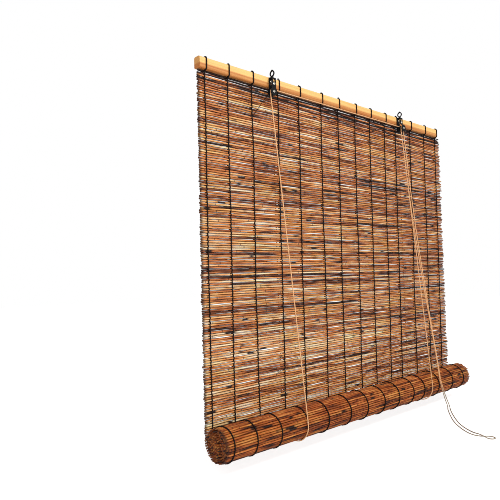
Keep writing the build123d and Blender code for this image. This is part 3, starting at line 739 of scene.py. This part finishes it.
class BLIND_OT_stage(bpy.types.Operator):
    """Makes the floor, the light and the camera at the photograph's angle"""
    bl_idname = "blind.stage"
    bl_label = "Stage"

    def execute(self, context):
        scene = context.scene
        scene.view_settings.view_transform = "Standard"
        camera = bpy.data.cameras.new("Camera")
        camera.lens = CAMERA_LENS
        camera.sensor_width = CAMERA_SENSOR
        camera.shift_x, camera.shift_y = CAMERA_SHIFT
        camera.clip_start = CAMERA_NEAR
        holder = bpy.data.objects.new("Camera", camera)
        turn = Matrix(CAMERA_AXES).transposed().to_4x4()
        turn.translation = in_frame(CAMERA_PLACE)
        holder.matrix_world = turn
        context.collection.objects.link(holder)
        scene.camera = holder
        scene.cycles.filter_width = PIXEL_FILTER

        floor = bpy.data.meshes.new("Floor")
        low, high = FLOOR_EDGES
        corners = [(x, y, FLOOR_Z) for x, y in ((low, low), (high, low), (high, high), (low, high))]
        floor.from_pydata(in_frame(corners).tolist(), [], [(0, 1, 2, 3)])
        plane = bpy.data.objects.new("Floor", floor)
        context.collection.objects.link(plane)
        pale = Nodes("Pale floor")
        pale.finish(FLOOR_COLOUR, 0.9)
        seen = pale.add("ShaderNodeLightPath").outputs["Is Camera Ray"]
        pale.feed(pale.shader.inputs["Emission Color"], (1.0, 1.0, 1.0, 1.0))
        pale.feed(pale.shader.inputs["Emission Strength"], pale.math("MULTIPLY", seen, FLOOR_GLOW))
        floor.materials.append(pale.material)

        world = bpy.data.worlds.new("World")
        world.use_nodes = True
        tree = world.node_tree
        backdrop = tree.nodes["Background"]
        ray = tree.nodes.new("ShaderNodeLightPath")
        level = tree.nodes.new("ShaderNodeMath")
        level.operation = "MULTIPLY_ADD"
        tree.links.new(ray.outputs["Is Camera Ray"], level.inputs[0])
        level.inputs[1].default_value = BACKDROP_SEEN
        level.inputs[2].default_value = BACKDROP_LIGHT
        tree.links.new(level.outputs[0], backdrop.inputs["Strength"])
        backdrop.inputs["Color"].default_value = (1, 1, 1, 1)
        scene.world = world

        for name, place, size, power in LAMPS:
            lamp = bpy.data.lights.new(name, "AREA")
            lamp.size = size
            lamp.energy = power
            light = bpy.data.objects.new(name, lamp)
            spot = in_frame(place)
            aim = in_frame(LIT_PLACE) - spot
            light.location = spot
            light.rotation_euler = Vector(aim).to_track_quat("-Z", "Y").to_euler()
            context.collection.objects.link(light)
        return {"FINISHED"}


class BLIND_OT_pull_cord(bpy.types.Operator):
    """Makes the pull cord: two strands down to the roll, and the bight that lies on the floor"""
    bl_idname = "blind.pull_cord"
    bl_label = "Pull cord"

    def execute(self, context):
        thick = context.scene.blind_sizes.cord
        for name, node, route, lay in (
            ("PullCordRear", "pull_cord_rear", REAR_STRAND, "hanging"),
            ("PullCordFront", "pull_cord_front", FRONT_STRAND, "hanging"),
            ("PullCordBight", "pull_cord_bight", PULL_BIGHT, "loose"),
        ):
            line = smooth_line(route)
            strand = node != "pull_cord_bight"
            below = route[0][2] - WORN_BELOW - line[:, 2]
            wear = 0.0 if strand else -np.clip(below / WEAR_HEIGHT, 0, 1)
            mesh = cord_mesh(name, [line], thick / 2 / MM, shade=wear)
            piece = show(name, mesh, "Twisted cord", "cord", "head" if strand else None, node)
            if strand:
                shorten(piece)
            else:
                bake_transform(piece)
        return {"FINISHED"}


class BLIND_OT_lift_cords(bpy.types.Operator):
    """Makes both lift cords: over the sheaves, down the front, under the roll and up the back. Each sling
    carries a short stretch up from the roll's front, so that the run above it passes clear of the roll
    when the blind is up"""
    bl_idname = "blind.lift_cords"
    bl_label = "Lift cords"

    def execute(self, context):
        radius = context.scene.blind_sizes.cord / 2 / MM
        for side, sheave_x, sheave_y, x in (
            ("left", LEFT_X, REAR_Y, LEFT_SLING_X), ("right", RIGHT_X, FRONT_Y, RIGHT_SLING_X),
        ):
            top = np.array([sheave_x - CORD_TURN, sheave_y, AXLE_Z - BELOW_AXLE])
            knot = np.array([x, RAIL_DEPTH / 2 + KNOT_HEIGHT / 2, TACK_Z - KNOT_RADIUS])
            front = sling_angle(top[1], top[2], 1)
            back = sling_angle(knot[1], knot[2], -1)
            contact, back_end = on_sling(x, front), on_sling(x, back)
            front_end = contact + SLING_RISE * (top - contact) / np.linalg.norm(top - contact)
            title = side.title()
            for end, start, low in (("Front", top, front_end), ("Back", knot, back_end)):
                run = straight(start, low, 60)
                node = f"lift_cord_{side}_{end.lower()}"
                piece = show_cord(f"LiftCord{title}{end}", run, radius, "head", node)
                shorten(piece)
            under = on_sling(x, np.linspace(front, back + 2 * np.pi, 41))
            bend = np.concatenate([straight(front_end, contact, 5)[:-1], under])
            show_cord(f"Sling{title}", bend, radius, "sling", f"sling_{side}")
        over = over_sheaves((LEFT_X, 180, 90), (RIGHT_X, 90, 0), REAR_Y)
        show_cord("CrossCord", over, radius, "head", "cross_cord")
        turn = over_sheaves((RIGHT_X, 180, 90), (RIGHT_X, 90, 0), FRONT_Y)
        show_cord("FrontSheaveCord", turn, radius, "head", "front_sheave_cord")
        return {"FINISHED"}


class BLIND_OT_knots(bpy.types.Operator):
    """Makes the knots: each lift cord's end wound twice round its tack"""
    bl_idname = "blind.knots"
    bl_label = "Knots"

    def execute(self, context):
        paths = []
        for x in (LEFT_SLING_X, RIGHT_SLING_X):
            turn = np.linspace(-np.pi / 2, 4.2 * np.pi, 60)
            depth = RAIL_DEPTH / 2 + KNOT_START + KNOT_RISE * (turn - turn[0]) / (turn[-1] - turn[0])
            across, up = KNOT_TURN_RADIUS * np.cos(turn), KNOT_TURN_RADIUS * np.sin(turn)
            paths.append(np.stack([x + across, depth, TACK_Z + up], axis=-1))
        mesh = cord_mesh("CordKnots", paths, KNOT_CORD_RADIUS)
        show("CordKnots", mesh, "Twisted cord", "cord", "head", "cord_knots")
        return {"FINISHED"}


class BLIND_OT_cad_finishes(bpy.types.Operator):
    """Gives the rail, hangers, sheaves, rivets and screws their finishes"""
    bl_idname = "blind.cad_finishes"
    bl_label = "Rail and hardware finishes"

    def execute(self, context):
        finishes = {
            "Planed pine": ("head_rail",),
            "Black steel": (
                "hanger_frame_left", "hanger_frame_right", "hanging_eye_left", "hanging_eye_right",
                "sheave_left", "sheave_right_rear", "sheave_right_front"),
            "Bright steel": (
                "axle_left", "axle_right", "long_screws", "short_screws", "spacer_tubes", "cord_tacks"),
        }
        for material, nodes in finishes.items():
            for node in nodes:
                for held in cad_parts[node].material_slots:
                    held.material = bpy.data.materials[material]
        return {"FINISHED"}


class BLIND_OT_mat(bpy.types.Operator):
    """Makes the hanging mat, reed by reed: an upper stretch, and the stretch that the roll takes up"""
    bl_idname = "blind.mat"
    bl_label = "Hanging mat"

    def execute(self, context):
        sizes = context.scene.blind_sizes
        pitch = sizes.reed_pitch / MM
        count = round((MAT_TOP - MAT_BOTTOM) / pitch)
        chance = np.random.default_rng(7)
        thick = sizes.reed_thickness / MM
        radius = thick / 2 * chance.uniform(0.9, 1.0, count)
        radius[:2] *= 0.86
        ragged = sizes.uneven_ends / MM
        down = np.arange(count) / count
        left = chance.normal(0.0, 0.3 * ragged, count).clip(-3, 3)
        right = MAT_WIDTH + 12.0 * down**1.3 + chance.normal(0.0, ragged, count).clip(-6, 6)
        stations = mat_stations()
        x = np.repeat(stations[None], count, axis=0)
        x[:, 0], x[:, -1] = left, right
        share = stations[None] / MAT_WIDTH
        wave, phase = (chance.uniform(*span, (count, 1)) for span in ((2, 7), (0, FULL_TURN)))
        middle = MAT_TOP - (np.arange(count) + 0.5) * pitch
        bend = np.sin(wave * share * FULL_TURN + phase)
        z = middle[:, None] + 0.2 * bend + chance.normal(0, 0.16, x.shape) + slit_offsets(stations, count)
        y = 0.3 * np.sin(wave * share * 9.0 + 2 * phase) + chance.normal(0, 0.2, x.shape)
        taper = 0.07 * chance.choice((-1, 1), (count, 1)) * (share - 0.5)
        thin = radius[:, None] * (1 + taper + chance.normal(0, 0.025, x.shape))
        thin[:, -1] *= 0.85
        z[:, -1] += chance.normal(0, 0.5, count)
        y[:, -1] += chance.normal(0, 1.0, count)
        tone = chance.uniform(0, 1, count)
        shade = mat_shades(chance, x, stations)
        rings = reed_rings(x, y, z, thin)
        for name, part in (("MatUpper", slice(0, UPPER_REEDS)), ("MatLower", slice(UPPER_REEDS, None))):
            mesh = tube_mesh(name, rings[part], x[part] * MM, tone[part], shade[part])
            piece = show(name, mesh, "Hanging reed", "mat_reed", "head", "reed_mat")
            if name == "MatLower":
                shorten(piece)
        return {"FINISHED"}


class BLIND_OT_warps(bpy.types.Operator):
    """Makes the warp threads: each dips between the reeds, front and back, and loops over the rail"""
    bl_idname = "blind.warps"
    bl_label = "Warp threads"

    def execute(self, context):
        sizes = context.scene.blind_sizes
        pitch = sizes.reed_pitch / MM
        reed = sizes.reed_thickness / MM / 2
        radius = sizes.thread / MM / 2
        count = round((MAT_TOP - MAT_BOTTOM) / pitch) - 3
        chance = np.random.default_rng(11)
        step = np.arange(3 * count)
        z = MAT_TOP - (step // 3 + np.array([0.0, 0.3, 0.7])[step % 3]) * pitch
        out = np.where(step % 3 == 0, 0.8 * reed, reed + 0.35 * radius)
        split = 3 * UPPER_REEDS
        upper, lower = [], []
        for place in WARPS_X:
            sway, start = chance.uniform(0.4, 1.3), chance.uniform(0, FULL_TURN)
            fade = np.clip((MAT_TOP - z) / 60, 0, 1)
            x = place + fade * (sway * np.sin(z / 90 + start) + 0.5 * sway * np.sin(z / 31 + 2 * start))
            stitch = 0.55 * np.where(step // 3 % 2, 1, -1) * np.where(step % 3 == 0, 0, 1)
            for side in (-1, 1):
                line = np.stack([x + side * stitch, side * out, z], axis=-1)
                lower.append(line[split:])
                upper.append(line[:split + 1])
            half, first = reed + radius, MAT_TOP - 0.5 * pitch
            loop = [(-half, first), *rail_outline(radius), (half, first)]
            lean = chance.uniform(-1.0, 1.0)
            sways = [place + lean * math.sin(i * 0.25) for i in range(len(loop))]
            upper.append(np.array([(x, *point) for x, point in zip(sways, loop)]))
            rise = chance.uniform(2.0, 5.5)
            front = -RAIL_DEPTH / 2
            tip = [(0, front + 5, 0.3), (0.6, front + 4, rise * 0.6), (-0.5, front + 3.4, rise)]
            upper.append(smooth_line([(place + aside, y, z) for aside, y, z in tip]))
        names = [f"warp_thread_{number:02d}" for number in range(1, len(WARPS_X) + 1)]
        for name, paths in (("WarpsUpper", upper), ("WarpsLower", lower)):
            mesh = cord_mesh(name, paths, radius, 5)
            piece = show(name, mesh, "Warp thread", "warp_thread", "head", *names)
            if name == "WarpsLower":
                shorten(piece)
        return {"FINISHED"}


class BLIND_OT_roll(bpy.types.Operator):
    """Makes the roll: the rest of the mat's reeds, wound inwards, and the warps round them"""
    bl_idname = "blind.roll"
    bl_label = "Roll"

    def execute(self, context):
        sizes = context.scene.blind_sizes
        pitch = sizes.reed_pitch / MM
        thick = sizes.reed_thickness / MM
        narrowing = TURN_PITCH / (2 * np.pi)
        whole = (TURN_RADIUS**2 - CORE_RADIUS**2) / (2 * narrowing)
        way = np.arange(pitch / 2, whole, pitch)
        # Along the spiral, way = R a - c a^2 / 2, so a = (R - sqrt(R^2 - 2 c way)) / c
        angle = (TURN_RADIUS - np.sqrt(TURN_RADIUS**2 - 2 * narrowing * way)) / narrowing
        chance = np.random.default_rng(3)
        count = len(angle)
        radius = 0.9 * thick / 2 * chance.uniform(0.9, 1.04, count)
        share = np.concatenate([[0, 0.006], np.linspace(0, 1, 16)[1:]])[None]
        left = chance.normal(-0.3, 0.9, count).clip(-2, 3) + np.linspace(0, 5, count)
        right = MAT_WIDTH + 14 + chance.normal(0.0, 1.6, count).clip(-4, 4)
        x = left[:, None] * (1 - share) + right[:, None] * share
        phase = chance.uniform(0, FULL_TURN, (count, 1))
        slack = 0.25 * np.sin(share * 11 + phase)
        y, z = spiral(angle[:, None] + 0.006 * np.sin(share * 8 + 2 * phase), slack)
        thin = radius[:, None] * (1 + 0.05 * np.sin(share * 9 + phase * 3))
        rings = reed_rings(x, y, z, thin)
        # The cut ends are flattened towards the spiral's line, so that dark gaps part the turns
        outward = np.stack([0 * angle, np.cos(angle), -np.sin(angle)], axis=-1)[:, None]
        end = rings[:, 0]
        middle = end.mean(axis=1, keepdims=True)
        end -= 0.5 * ((end - middle) * outward).sum(axis=-1, keepdims=True) * outward
        mesh = tube_mesh("Roll", rings, x * MM, chance.uniform(0, 1, count))
        show("Roll", mesh, "Rolled reed", "roll_reed", "roll", "reed_roll")

        radius = sizes.thread / MM / 2
        turn = np.radians(np.linspace(*ROLL_THREAD_TURN, 140))
        way = TURN_RADIUS * turn - narrowing * turn**2 / 2
        dip = np.cos(2 * np.pi * way / pitch)
        y, z = spiral(turn, thick / 2 + 0.15 + 0.35 * (1 - dip) / 2)
        rings = []
        for place in WARPS_X:
            sway = chance.uniform(0.3, 1.0) * np.sin(turn * 2 + chance.uniform(0, FULL_TURN))
            rings.append(np.stack([place + sway, y, z], axis=-1))
        mesh = cord_mesh("RollThreads", rings, radius, 5)
        show("RollThreads", mesh, "Warp thread", "warp_thread", "roll", "roll_threads")
        return {"FINISHED"}


class BLIND_OT_tie_thread(bpy.types.Operator):
    """Makes the thin thread from the left hanger to the third warp"""
    bl_idname = "blind.tie_thread"
    bl_label = "Tie thread"

    def execute(self, context):
        mesh = cord_mesh("TieThread", [smooth_line(TIE_THREAD)], TIE_THREAD_RADIUS, 6)
        show("TieThread", mesh, "Warp thread", "warp_thread", "head", "tie_thread")
        return {"FINISHED"}


class BLIND_PT_panel(bpy.types.Panel):
    """The blind's values and the steps that make it"""
    bl_idname = "BLIND_PT_panel"
    bl_label = "Reed blind"
    bl_space_type = "VIEW_3D"
    bl_region_type = "UI"
    bl_category = "Reed blind"

    def draw(self, context):
        for group in (context.scene.blind_sizes, context.scene.blind_colours):
            box = self.layout.box()
            for name in group.__annotations__:
                box.prop(group, name)
        for step in STEPS:
            self.layout.operator(step.bl_idname)


STEPS = (
    BLIND_OT_materials, BLIND_OT_stage, BLIND_OT_pull_cord, BLIND_OT_lift_cords, BLIND_OT_knots,
    BLIND_OT_cad_finishes, BLIND_OT_mat, BLIND_OT_warps, BLIND_OT_roll, BLIND_OT_tie_thread,
)
CLASSES = (BlindSizes, BlindColours, *STEPS, BLIND_PT_panel)


def register():
    for item in CLASSES:
        bpy.utils.register_class(item)
    bpy.types.Scene.blind_sizes = bpy.props.PointerProperty(type=BlindSizes)
    bpy.types.Scene.blind_colours = bpy.props.PointerProperty(type=BlindColours)


def unregister():
    del bpy.types.Scene.blind_colours
    del bpy.types.Scene.blind_sizes
    for item in reversed(CLASSES):
        bpy.utils.unregister_class(item)


def main():
    """Makes the whole scene."""
    register()
    for step in STEPS:
        group, name = step.bl_idname.split(".")
        getattr(getattr(bpy.ops, group), name)()


if __name__ == "__main__":
    main()
